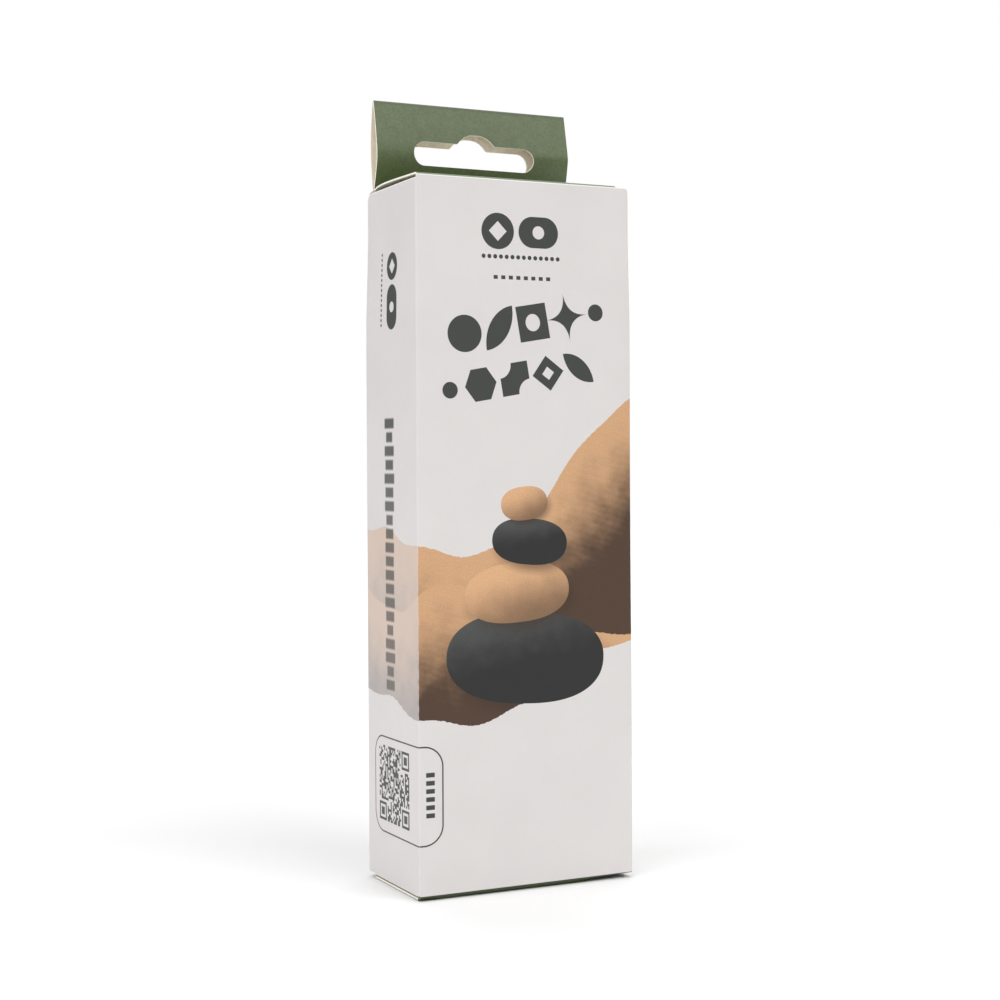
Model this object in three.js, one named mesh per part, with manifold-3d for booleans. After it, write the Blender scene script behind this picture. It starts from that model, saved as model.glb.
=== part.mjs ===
// A hanging retail carton: a reverse-tuck folding carton of printed paperboard.
// Four walls stand round the content. The back wall runs up into a double hang tab with a hook slot,
// and the tab's front layer runs on into the top lid, which tucks in behind the front wall.
// The bottom lid is folded from the front wall and tucks in behind the back wall.
// Millimetres, +Z up. The front faces -Y, and the origin is the middle of the base, on the table.

import * as THREE from 'three';
import { mergeVertices } from 'three/addons/utils/BufferGeometryUtils.js';
import Module from 'manifold-3d';

const wasm = await Module();
wasm.setup();

// Board and clearances
const board = 0.45; // paperboard thickness
const gap = 0.3; // clearance between neighbouring pieces
const creaseRadius = 0.9; // outer radius of the upright creases
const foldRadius = board + gap / 2; // outer radius of the tight folds of lids and tab

// Walls
const bodyWidth = 60;
const bodyDepth = 33;
const bodyHeight = 178; // front wall, from crease to cut edge
const frontBulge = 0.5;
const backBulge = 0.4;
const sideBulge = 0.3;
const cornerRelief = 2.5; // rounding cut at the top of two opposite upright creases
const glueFlapWidth = 11;
const glueFlapShortfall = 5; // how far the glue flap stops short at each end
const glueFlapTaper = 3;

// Hang tab
const tabHeight = 23;
const tabInset = 2.15; // the tab is this much narrower than the back wall on each side
const tabFrontBow = 2.2; // how far the front layer stands forward at mid height
const tabBackBow = 1.3; // how far the back layer stands back
const slotLength = 35;
const slotHeight = 6.3;
const slotCentre = 9.6; // above the wall tops
const backSlotDrop = 0.8; // the back layer's slot sits a little lower
const humpWidth = 10.8;
const humpHeight = 2.7;

// Lids and tuck flaps
const lidRise = 0.25; // the top lid's outer face stands this far above the front wall
const topLidHang = 1; // how far the top dust flaps hang away from the lid, besides the gap
const topLidBulge = 0.7;
const bottomLidBulge = 0.35;
const bottomLidHang = 0.3; // how far the bottom lid hangs away from the dust flaps, besides the gap
const topLidInset = 0.7; // at the tuck crease, inside the walls' width on each side
const bottomLidInset = 1.5; // the same, clear of the glue flap's crease
const bottomRootInset = 0.85; // the same at the bottom lid's root edge
const tuckClearance = 0.5; // between tuck flap and the wall it slides behind
const tuckLength = 11;
const tuckInset = 0.8; // the tuck flap is this much narrower than its lid on each side
const tuckCornerRadius = 5;

// Dust flaps
const dustLength = 21.5;
const dustTuckInset = 2.2; // clear of the wall that the tuck flap slides behind
const dustHingeInset = 1.2; // clear of the wall that the lid is folded from
const dustTaper = 3;
const dustCornerRadius = 4;

// Widths and heights that follow from the sizes above. The front and back walls stand on the table.
const tabWidth = bodyWidth - 2 * tabInset;
const topLidWidth = bodyWidth - 2 * topLidInset;
const bottomLidWidth = bodyWidth - 2 * bottomLidInset;
const bottomRootWidth = bodyWidth - 2 * bottomRootInset;
const lidUnderside = bottomLidBulge; // the bottom lid's outer face at its edges
const sideBottom = lidUnderside + board + gap + bottomLidHang;
const wallTop = bodyHeight;
const topLidOuter = wallTop + lidRise;
const sideTop = topLidOuter - board - gap - topLidHang;

// Colours
const finish = (color, roughness) => new THREE.MeshStandardMaterial({ color, roughness, metalness: 0 });
const whiteBoard = finish(0xdedbd7, 0.55);
const greenBoard = finish(0x5f7149, 0.55);
const rawBoard = finish(0xc9bda8, 0.85);

// Evenly spaced stations from low to high
function stations(low, high, count) {
  return Array.from({ length: count + 1 }, (_, i) => low + ((high - low) * i) / count);
}

// 0 at both ends of a span and 1 in its middle
const arch = (t) => Math.sin(Math.PI * Math.min(1, Math.max(0, t)));

// 0 at both ends, flat at 1 between the two shoulders
const shoulder = 0.2;
const plateau = (t) => Math.sin((Math.PI / 2) * Math.min(1, Math.min(t, 1 - t) / shoulder));

// A piece of board: a flat grid of stations whose points are put in place by a function
// of u (across), v (along) and n (0 on the outer face, -board on the inner one)
function sheet(us, vs, place) {
  const geometry = new THREE.BoxGeometry(1, 1, 1, us.length - 1, vs.length - 1, 1);
  const points = geometry.attributes.position;
  const target = new THREE.Vector3();
  for (let i = 0; i < points.count; i += 1) {
    const u = us[Math.round((points.getX(i) + 0.5) * (us.length - 1))];
    const v = vs[Math.round((points.getY(i) + 0.5) * (vs.length - 1))];
    const n = points.getZ(i) > 0 ? 0 : -board;
    place(target, u, v, n);
    points.setXYZ(i, target.x, target.y, target.z);
  }
  return geometry;
}

function solidOf(geometry) {
  const bare = geometry.clone();
  bare.deleteAttribute('normal');
  bare.deleteAttribute('uv');
  const merged = mergeVertices(bare, 1e-5);
  const mesh = new wasm.Mesh({
    numProp: 3,
    vertProperties: new Float32Array(merged.attributes.position.array),
    triVerts: new Uint32Array(merged.index.array),
  });
  return new wasm.Manifold(mesh);
}

function geometryOf(solid) {
  const mesh = solid.getMesh();
  const geometry = new THREE.BufferGeometry();
  geometry.setAttribute('position', new THREE.BufferAttribute(new Float32Array(mesh.vertProperties), 3));
  geometry.setIndex(new THREE.BufferAttribute(new Uint32Array(mesh.triVerts), 1));
  geometry.computeVertexNormals();
  return geometry;
}

// An outline in u and v, made a block that reaches well past any bulge
const cutterDepth = 20;
function cutter(shape) {
  const geometry = new THREE.ExtrudeGeometry(shape, { depth: cutterDepth, bevelEnabled: false, curveSegments: 10 });
  geometry.translate(0, 0, -cutterDepth / 2);
  return solidOf(geometry);
}

const keepInside = (geometry, shape) => geometryOf(solidOf(geometry).intersect(cutter(shape)));
const cutAway = (geometry, shape) => geometryOf(solidOf(geometry).subtract(cutter(shape)));

// A flap's outline from its root edge at v = 0: tapered sides and rounded free corners
function flapOutline(rootLow, rootHigh, freeLow, freeHigh, length, radius) {
  const shape = new THREE.Shape();
  const past = 1; // the outline starts behind the root edge, which stays as it is
  shape.moveTo(rootLow, -past);
  shape.lineTo(rootHigh, -past);
  shape.lineTo(rootHigh, 0);
  shape.lineTo(freeHigh, length - radius);
  shape.quadraticCurveTo(freeHigh, length, freeHigh - radius, length);
  shape.lineTo(freeLow + radius, length);
  shape.quadraticCurveTo(freeLow, length, freeLow, length - radius);
  shape.lineTo(rootLow, 0);
  return shape;
}

// The corner of a wall that is cut off outside a quarter circle; side is +1 right or -1 left
function cornerCut(side, edge, top, radius) {
  const shape = new THREE.Shape();
  const past = 5;
  shape.moveTo(side * (edge - radius), top);
  shape.lineTo(side * (edge - radius), top + past);
  shape.lineTo(side * (edge + past), top + past);
  shape.lineTo(side * (edge + past), top - radius);
  shape.lineTo(side * edge, top - radius);
  const steps = 8;
  for (let i = 1; i < steps; i += 1) {
    const angle = ((Math.PI / 2) * i) / steps;
    const across = edge - radius + radius * Math.cos(angle);
    shape.lineTo(side * across, top - radius + radius * Math.sin(angle));
  }
  return shape;
}

// A wall with quarter-round creases at its ends. left and right are where the outer faces of
// those creases stand.
function creasedWall(left, right, bottom, top, bulge) {
  const flatLeft = left + creaseRadius;
  const flatRight = right - creaseRadius;
  const arc = (Math.PI / 2) * creaseRadius;
  const us = [
    ...stations(flatLeft - arc, flatLeft, 3).slice(0, -1),
    ...stations(flatLeft, flatRight, 10),
    ...stations(flatRight, flatRight + arc, 3).slice(1),
  ];
  const vs = stations(bottom, top, 12);
  return sheet(us, vs, (target, u, v, n) => {
    const past = u < flatLeft ? u - flatLeft : Math.max(0, u - flatRight);
    const angle = past / creaseRadius;
    const flat = Math.min(flatRight, Math.max(flatLeft, u));
    const lift = bulge * arch((flat - flatLeft) / (flatRight - flatLeft)) * arch((v - bottom) / (top - bottom));
    const reach = creaseRadius + n;
    target.set(flat + reach * Math.sin(angle), v, lift - creaseRadius + reach * Math.cos(angle));
  });
}

function plainWall(left, right, bottom, top, bulge) {
  const us = stations(left, right, 6);
  const vs = stations(bottom, top, 12);
  return sheet(us, vs, (target, u, v, n) => {
    const lift = bulge * arch((u - left) / (right - left)) * arch((v - bottom) / (top - bottom));
    target.set(u, v, n + lift);
  });
}

// The hook slot: a long slot with round ends and a low rounded hump in the middle of its top
function hookSlot(centre) {
  const radius = slotHeight / 2;
  const straight = slotLength / 2 - radius;
  const foot = humpWidth / 2;
  const flank = (humpHeight - foot * (Math.SQRT2 - 1)) / (2 - Math.SQRT2); // height of the 45 degree flanks
  const crownRadius = (foot - flank) * Math.SQRT2;
  const crownCentre = radius + humpHeight - crownRadius;
  const shape = new THREE.Shape();
  shape.moveTo(-straight, centre - radius);
  shape.lineTo(straight, centre - radius);
  shape.absarc(straight, centre, radius, -Math.PI / 2, Math.PI / 2, false);
  shape.lineTo(foot, centre + radius);
  shape.absarc(0, centre + crownCentre, crownRadius, Math.PI / 4, (3 * Math.PI) / 4, false);
  shape.lineTo(-foot, centre + radius);
  shape.absarc(-straight, centre, radius, Math.PI / 2, (3 * Math.PI) / 2, false);
  return shape;
}

// The tab's back layer, with the fold over its top. Heights are above the wall tops.
function tabBackLayer() {
  const foldStart = tabHeight - foldRadius;
  const foldArc = Math.PI * foldRadius;
  const vs = [...stations(gap, foldStart, 12), ...stations(foldStart, foldStart + foldArc, 6).slice(1)];
  const bent = sheet(stations(-tabWidth / 2, tabWidth / 2, 2), vs, (target, u, v, n) => {
    const angle = Math.max(0, v - foldStart) / foldRadius;
    const reach = foldRadius + n;
    const up = Math.min(v, foldStart) + reach * Math.sin(angle);
    const bow = tabBackBow * arch(Math.min(v, foldStart) / foldStart);
    target.set(u, up, bow - foldRadius + reach * Math.cos(angle));
  });
  return cutAway(bent, hookSlot(slotCentre - backSlotDrop));
}

// The tab's front layer, from the lid crease up to the fold
function tabFrontLayer(bottom) {
  const top = tabHeight - foldRadius - gap;
  const bent = sheet(stations(-tabWidth / 2, tabWidth / 2, 2), stations(bottom, top, 14), (target, u, v, n) => {
    target.set(u, v, n + tabFrontBow * arch((v - bottom) / (top - bottom)));
  });
  return cutAway(bent, hookSlot(slotCentre));
}

// A lid from its root edge to the crease where its tuck flap starts. v runs to the free end.
function lid(length, rootWidth, freeWidth, bulge, swell) {
  const flatLength = length - foldRadius;
  const arc = (Math.PI / 2) * foldRadius;
  const us = stations(-0.5, 0.5, 10);
  const vs = [...stations(0, flatLength, 10), ...stations(flatLength, flatLength + arc, 3).slice(1)];
  return sheet(us, vs, (target, u, v, n) => {
    const angle = Math.max(0, v - flatLength) / foldRadius;
    const flat = Math.min(v, flatLength);
    const share = flat / flatLength;
    const across = u * (rootWidth + (freeWidth - rootWidth) * share);
    const reach = foldRadius + n;
    const lift = bulge * swell(share) * swell(u + 0.5);
    target.set(across, flat + reach * Math.sin(angle), lift - foldRadius + reach * Math.cos(angle));
  });
}

function tuckFlap(lidWidth) {
  const half = lidWidth / 2 - tuckInset;
  const flat = sheet([-half, half], [0, tuckLength], (target, u, v, n) => target.set(u, v, n + board / 2));
  const freeHalf = half - 1;
  return keepInside(flat, flapOutline(-half, half, -freeHalf, freeHalf, tuckLength, tuckCornerRadius));
}

// A dust flap; low and high are its root edge's ends across the side wall
function dustFlap(low, high) {
  const flat = sheet([low, high], [0, dustLength], (target, u, v, n) => target.set(u, v, n));
  const outline = flapOutline(low, high, low + dustTaper, high - dustTaper, dustLength, dustCornerRadius);
  return keepInside(flat, outline);
}

function glueFlap(length) {
  const flat = sheet([-length / 2, length / 2], [0, glueFlapWidth], (target, u, v, n) => target.set(u, v, n));
  const half = length / 2;
  const freeHalf = half - glueFlapTaper;
  return keepInside(flat, flapOutline(-half, half, -freeHalf, freeHalf, glueFlapWidth, 1));
}

// The scene graph. A wall frame has u across to the right as seen from outside, v up and n outwards.
const carton = new THREE.Group();

function wallFrame(turn, distance) {
  const frame = new THREE.Group();
  frame.rotation.set(Math.PI / 2, 0, turn, 'ZYX');
  const plane = new THREE.Group();
  plane.position.z = distance;
  frame.add(plane);
  carton.add(frame);
  return plane;
}

// A flap frame has u along the root edge, v towards the free end and n outwards
function flapFrame(x, y, z, turn, facesDown) {
  const frame = new THREE.Group();
  frame.position.set(x, y, z);
  frame.rotation.set(facesDown ? Math.PI : 0, 0, turn, 'ZYX');
  carton.add(frame);
  return frame;
}

function piece(parent, name, geometry, material) {
  const mesh = new THREE.Mesh(geometry, material);
  mesh.name = name;
  parent.add(mesh);
  return mesh;
}

const halfWidth = bodyWidth / 2;
const halfDepth = bodyDepth / 2;
const sideFlatHalf = halfDepth - creaseRadius - gap; // side walls stop short of the creases
const glueFace = halfWidth - board - gap; // outer face of the glue flap, inside the right wall

// Front wall, with both of its upright creases
const front = wallFrame(0, halfDepth);
const frontBlank = creasedWall(-halfWidth, halfWidth, 0, wallTop, frontBulge);
piece(front, 'front_panel', cutAway(frontBlank, cornerCut(1, halfWidth, wallTop, cornerRelief)), whiteBoard);

// Back wall; its right crease turns in behind the right wall and carries the glue flap
const back = wallFrame(Math.PI, halfDepth);
const backBlank = creasedWall(-glueFace, halfWidth, 0, wallTop, backBulge);
piece(back, 'back_panel', cutAway(backBlank, cornerCut(1, halfWidth, wallTop, tabInset)), whiteBoard);

// Side walls. The right one runs to the back edge and covers the glue flap's crease.
const left = wallFrame(-Math.PI / 2, halfWidth);
const leftBlank = plainWall(-sideFlatHalf, sideFlatHalf, sideBottom, sideTop, sideBulge);
const leftRelief = cornerCut(-1, halfDepth, sideTop, cornerRelief);
piece(left, 'left_side_panel', cutAway(leftBlank, leftRelief), whiteBoard);

const right = wallFrame(Math.PI / 2, halfWidth);
const rightBlank = plainWall(-sideFlatHalf, halfDepth, sideBottom, sideTop, sideBulge);
const rightRelief = cornerCut(-1, halfDepth, sideTop, cornerRelief);
piece(right, 'right_side_panel', cutAway(rightBlank, rightRelief), whiteBoard);

const glueLength = sideTop - sideBottom - 2 * glueFlapShortfall;
const glue = new THREE.Group();
glue.position.set(halfDepth - creaseRadius - gap, (sideTop + sideBottom) / 2, glueFace - halfWidth);
glue.rotation.z = Math.PI / 2;
right.add(glue);
piece(glue, 'glue_flap', glueFlap(glueLength), rawBoard);

// Hang tab. Its front layer stands one board and one gap in front of the back layer at the fold.
const tabBack = new THREE.Group();
tabBack.position.y = wallTop;
back.add(tabBack);
piece(tabBack, 'hang_tab_back_layer', tabBackLayer(), greenBoard);

const tabFrontFace = halfDepth - 2 * foldRadius; // y of the front layer's outer face at its ends
const tabFront = new THREE.Group();
tabFront.position.set(0, wallTop, -tabFrontFace);
const frontFacing = wallFrame(0, 0);
frontFacing.add(tabFront);
piece(tabFront, 'hang_tab_front_layer', tabFrontLayer(lidRise - board), greenBoard);

// Top lid, folded from the foot of the tab's front layer, and its tuck flap behind the front wall
const topRoot = tabFrontFace - gap;
const frontTuckFace = -(halfDepth - board - tuckClearance);
const topLidLength = topRoot - frontTuckFace;
const topLid = flapFrame(0, topRoot, topLidOuter, Math.PI, false);
piece(topLid, 'top_lid', lid(topLidLength, tabWidth, topLidWidth, topLidBulge, arch), greenBoard);

// Bottom lid, folded from the front wall, and its tuck flap behind the back wall
const bottomRoot = -(halfDepth - board - gap);
const backTuckFace = halfDepth - board - tuckClearance;
const bottomLidLength = backTuckFace - bottomRoot;
const bottomLid = flapFrame(0, bottomRoot, lidUnderside, Math.PI, true);
const bottomLidSheet = lid(bottomLidLength, bottomRootWidth, bottomLidWidth, bottomLidBulge, plateau);
piece(bottomLid, 'bottom_lid', bottomLidSheet, greenBoard);

function tuckBelow(parent, lidLength, lidWidth, name) {
  const tuck = new THREE.Group();
  tuck.position.set(0, lidLength - board / 2, -foldRadius - gap);
  tuck.rotation.x = -Math.PI / 2;
  parent.add(tuck);
  piece(tuck, name, tuckFlap(lidWidth), greenBoard);
}
tuckBelow(topLid, topLidLength, topLidWidth, 'top_tuck_flap');
tuckBelow(bottomLid, bottomLidLength, bottomLidWidth, 'bottom_tuck_flap');

// Dust flaps, folded in from the side walls under each lid
const dustRoot = halfWidth - board - gap;
const tuckSide = halfDepth - board - dustTuckInset;
const hingeSide = halfDepth - board - dustHingeInset;
function dust(name, side, facesDown) {
  const z = facesDown ? sideBottom : sideTop;
  const turn = (facesDown ? -1 : 1) * side * (Math.PI / 2);
  const frame = flapFrame(side * dustRoot, 0, z, turn, facesDown);
  // u runs to the back on the right-hand top flap and on the left-hand bottom one
  const uToBack = (side > 0) !== facesDown;
  const [low, high] = facesDown ? [hingeSide, tuckSide] : [tuckSide, hingeSide];
  piece(frame, name, uToBack ? dustFlap(-low, high) : dustFlap(-high, low), rawBoard);
}
dust('top_left_dust_flap', -1, false);
dust('top_right_dust_flap', 1, false);
dust('bottom_left_dust_flap', -1, true);
dust('bottom_right_dust_flap', 1, true);

export default carton;
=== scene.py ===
"""A hanging retail carton of printed paperboard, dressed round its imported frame.

The carton is modelled as it is made: each part is a flat piece of board, cut to its outline,
creased into strips and folded into place, and then given the thickness of the board.
Flat pieces are laid out in u (across) and v (along), in metres.
"""

import math

import bmesh
import bpy
from mathutils import Euler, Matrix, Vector


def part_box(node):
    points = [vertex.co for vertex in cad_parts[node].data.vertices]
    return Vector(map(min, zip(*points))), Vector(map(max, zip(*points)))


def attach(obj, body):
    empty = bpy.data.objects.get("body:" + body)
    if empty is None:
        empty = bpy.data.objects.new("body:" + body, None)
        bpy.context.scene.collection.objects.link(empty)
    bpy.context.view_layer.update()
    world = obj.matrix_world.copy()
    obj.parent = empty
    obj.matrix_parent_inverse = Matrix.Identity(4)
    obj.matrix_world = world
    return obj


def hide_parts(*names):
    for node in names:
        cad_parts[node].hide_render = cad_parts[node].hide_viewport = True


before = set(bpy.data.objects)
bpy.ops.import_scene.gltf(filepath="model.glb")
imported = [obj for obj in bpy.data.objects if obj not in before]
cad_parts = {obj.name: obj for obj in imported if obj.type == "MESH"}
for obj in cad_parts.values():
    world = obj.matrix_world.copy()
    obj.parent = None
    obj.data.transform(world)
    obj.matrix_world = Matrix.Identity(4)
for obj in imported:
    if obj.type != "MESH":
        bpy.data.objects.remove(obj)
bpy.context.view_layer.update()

bl_info = {
    "name": "Hanging Carton",
    "version": (1, 0, 0),
    "blender": (4, 5, 0),
    "location": "3D View > Sidebar > Carton",
    "description": "Folds a hanging retail carton of printed paperboard",
    "category": "Object",
}

MM = 0.001

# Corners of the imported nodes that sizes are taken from
FRONT_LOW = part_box("front_panel")[0]
BACK_LOW, BACK_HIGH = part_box("back_panel")
TAB_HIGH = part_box("hang_tab_back_layer")[1]
LID_LOW, LID_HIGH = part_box("top_lid")
FLOOR_LID_LOW, FLOOR_LID_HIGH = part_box("bottom_lid")
NODE_GAP = 0.3 * MM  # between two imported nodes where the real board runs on


def length(name, description, default):
    return bpy.props.FloatProperty(
        name=name, description=description, default=default, min=0.0, max=0.5,
        subtype="DISTANCE", unit="LENGTH", precision=5,
    )


def colour(name, description, default):
    return bpy.props.FloatVectorProperty(
        name=name, description=description, default=default, size=3, min=0.0, max=1.0,
        subtype="COLOR",
    )


def share(name, description, default):
    return bpy.props.FloatProperty(
        name=name, description=description, default=default, min=0.0, max=1.0, subtype="FACTOR",
    )


class CartonSizes(bpy.types.PropertyGroup):
    """Sizes of the board and of the folded carton"""

    width: length("Width", "Carton width, left to right", 60 * MM)
    depth: length("Depth", "Carton depth, front to back", 33 * MM)
    height: length("Height", "Height of the back wall, where the tab starts", BACK_HIGH[2] - BACK_LOW[2])
    front_height: length("Front height", "Height of the front wall's cut edge", 177.65 * MM)
    side_low: length("Side foot", "Height of the side walls' lower edges", 1.5 * MM)
    side_high: length("Side top", "Height of the side walls' upper edges", 176.8 * MM)
    board: length("Board", "Paperboard thickness", 0.45 * MM)
    crease: length("Crease radius", "Outer radius of the upright creases", 0.6 * MM)
    bulge: length("Bulge", "How far the large walls stand out in their middle", 0.45 * MM)
    relief: length("Corner cut", "Radius cut off at the top of two creases", 3.3 * MM)
    lean: length("Lean", "How far the back left and right creases lean in at the top", 0.7 * MM)
    roll: length("Bottom roll", "Radius of the front wall's rolled bottom crease", 1.0 * MM)
    tab_inset: length("Tab inset", "How much narrower the tab is on each side", 2.2 * MM)
    tab_top: length("Tab top", "Height of the tab's top fold", TAB_HIGH[2] + 0.25 * MM)
    front_bow: length("Front bow", "How far the tab's front layer stands forward", 2.3 * MM)
    back_bow: length("Back bow", "How far the tab's back layer stands back", 1.3 * MM)
    slot_length: length("Slot length", "Hook slot, end to end", 35 * MM)
    slot_height: length("Slot height", "Hook slot without its hump", 6.3 * MM)
    slot_rise: length("Slot rise", "Middle of the hook slot above the walls", 10.1 * MM)
    lid_bulge: length("Lid bulge", "How far the top lid rises, mostly near its root", 0.65 * MM)
    lid_droop: length("Lid droop", "How far the top lid's back corners hang down", 0.05 * MM)


class CartonColours(bpy.types.PropertyGroup):
    """Colours of board and inks, as linear values"""

    board: colour("Board", "Coated outside of the board", (0.670, 0.641, 0.631))
    ink: colour("Ink", "Dark ink of the marks", (0.024, 0.029, 0.024))
    green: colour("Green", "Green of the tab and lids", (0.074, 0.106, 0.029))
    inside: colour("Inside", "Unprinted inside of the board", (0.92, 0.845, 0.715))
    edge: colour("Cut edge", "Core of the board at its cut edges", (0.93, 0.90, 0.82))
    sand: colour("Sand", "Lit sand in the picture", (0.60, 0.35, 0.185))
    shade: colour("Shade", "Shaded sand in the picture", (0.070, 0.035, 0.018))
    stone: colour("Stone", "Dark stones in the picture", (0.014, 0.015, 0.014))
    side_veil: share("Side veil", "How far the picture is paler on the left wall", 0.55)


# Flat board. Roundings are pairs: the numbers of some corners, and their radius.

def flat_face(bm, corners, rounding=()):
    """A flat face from its corners, some of them rounded."""
    verts = [bm.verts.new((u, v, 0.0)) for u, v in corners]
    bm.faces.new(verts)
    for numbers, radius in rounding:
        bmesh.ops.bevel(
            bm, geom=[verts[n] for n in numbers], offset=radius, offset_type="OFFSET", segments=8,
            profile=0.5, affect="VERTICES", material=-1, clamp_overlap=True,
        )
    bmesh.ops.remove_doubles(bm, verts=bm.verts, dist=0.01 * MM)


def cut_board(corners, rounding=(), holes=(), across=(), along=()):
    """A flat sheet with its outline and holes, cut into strips where it is to bend."""
    bm = bmesh.new()
    flat_face(bm, corners, rounding)
    for hole_corners, hole_rounding in holes:
        hole = bmesh.new()
        flat_face(hole, hole_corners, hole_rounding)
        ring = bpy.data.meshes.new("hole")
        hole.to_mesh(ring)
        hole.free()
        bm.from_mesh(ring)
        bpy.data.meshes.remove(ring)
    if holes:
        bmesh.ops.delete(bm, geom=bm.faces[:], context="FACES_ONLY")
        bmesh.ops.triangle_fill(bm, use_beauty=True, edges=bm.edges[:], normal=(0, 0, 1))
    for places, normal in ((across, (1, 0, 0)), (along, (0, 1, 0))):
        for place in places:
            bmesh.ops.bisect_plane(
                bm, geom=bm.verts[:] + bm.edges[:] + bm.faces[:], dist=0.001 * MM,
                plane_co=[place * n for n in normal], plane_no=normal,
            )
    turn_faces(bm, 2, 1)
    return bm


def turn_faces(bm, axis, sign, judge=None):
    """Turns the faces so that together they look along an axis. judge picks those that tell."""
    bmesh.ops.recalc_face_normals(bm, faces=bm.faces)
    faces = [face for face in bm.faces if judge is None or judge(face.calc_center_median())]
    if sign * sum(face.normal[axis] * face.calc_area() for face in faces) < 0:
        bmesh.ops.reverse_faces(bm, faces=bm.faces)


def steps(low, high, count):
    return [low + (high - low) * n / count for n in range(count + 1)]


def arch(t):
    """0 at both ends of a span and 1 in its middle."""
    return math.sin(math.pi * min(1.0, max(0.0, t)))


def smooth(t):
    t = min(1.0, max(0.0, t))
    return t * t * (3 - 2 * t)


UV_NAME = "Board"
UV_SCALE = 0.2  # metres of board to one unit of the UV map
UV_SHIFT = 0.55  # where the front left crease lies across the UV map


def fold(bm, place):
    """Keeps each point's flat place in the UV map, then moves it to where the fold puts it."""
    uv = bm.loops.layers.uv.new(UV_NAME)
    for face in bm.faces:
        face.smooth = True
        for loop in face.loops:
            loop[uv].uv = (loop.vert.co.x / UV_SCALE + UV_SHIFT, loop.vert.co.y / UV_SCALE)
    for vert in bm.verts:
        vert.co = place(vert.co.x, vert.co.y)


def board_piece(name, bm, outside, body, nodes):
    """Gives the folded sheet its thickness and its finishes: outside, inside and cut edge.
    It rides on a body and stands for the nodes."""
    made = ready_materials()
    mesh = bpy.data.meshes.new(name)
    bm.to_mesh(mesh)
    bm.free()
    piece = bpy.data.objects.new(name, mesh)
    bpy.context.scene.collection.objects.link(piece)
    for finish in (outside, "Unprinted board", "Cut edge"):
        mesh.materials.append(made[finish])
    thick = piece.modifiers.new("Board thickness", "SOLIDIFY")
    thick.thickness = bpy.context.scene.carton_sizes.board
    thick.offset = -1.0
    thick.use_even_offset = True
    thick.material_offset = 1
    thick.material_offset_rim = 2
    bpy.context.view_layer.update()
    shown = piece.evaluated_get(bpy.context.evaluated_depsgraph_get())
    solid = bpy.data.meshes.new_from_object(shown)
    piece.modifiers.clear()
    piece.data = solid
    bpy.data.meshes.remove(mesh)
    solid.name = name
    crisp_edges(solid)
    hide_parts(*nodes)
    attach(piece, body)


SHARP_ANGLE = 35  # degrees


def crisp_edges(mesh):
    """Keeps the cut edges crisp: they are flat-shaded against both faces of the board."""
    bm = bmesh.new()
    bm.from_mesh(mesh)
    for edge in bm.edges:
        if len({face.material_index for face in edge.link_faces}) > 1:
            edge.smooth = False
        elif edge.is_manifold and edge.calc_face_angle() > math.radians(SHARP_ANGLE):
            edge.smooth = False
    bm.to_mesh(mesh)
    bm.free()


# Shader building blocks

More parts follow.
